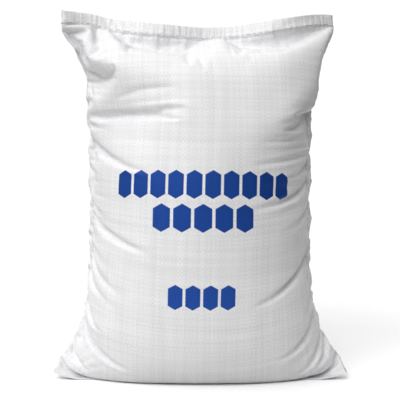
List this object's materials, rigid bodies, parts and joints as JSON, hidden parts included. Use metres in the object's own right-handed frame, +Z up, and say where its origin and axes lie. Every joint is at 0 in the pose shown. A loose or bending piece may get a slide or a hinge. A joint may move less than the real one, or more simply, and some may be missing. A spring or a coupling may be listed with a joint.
{
  "type": "bag of sugar",
  "caption": "Filled woven-polypropylene sugar sack, standing upright, with a sewn sagging top hem, peaked corners and two ears at the base.",
  "frame": {"origin": "middle of the base on the floor, under the middle of the sack", "axes": "+Z up from the base to the hem, +X along the width to the viewer's right of the printed face, -Y out of the printed face"},
  "size_m": [0.456, 0.244, 0.568],
  "materials": {
    "woven_fabric": "white woven polypropylene tape, slightly glossy, printed with plain blue marks",
    "thread": "white spun sewing thread"
  },
  "bodies": {
    "root": {"sack": "woven_fabric", "closing_thread_front": "thread", "closing_thread_back": "thread"}
  },
  "joints": []
}
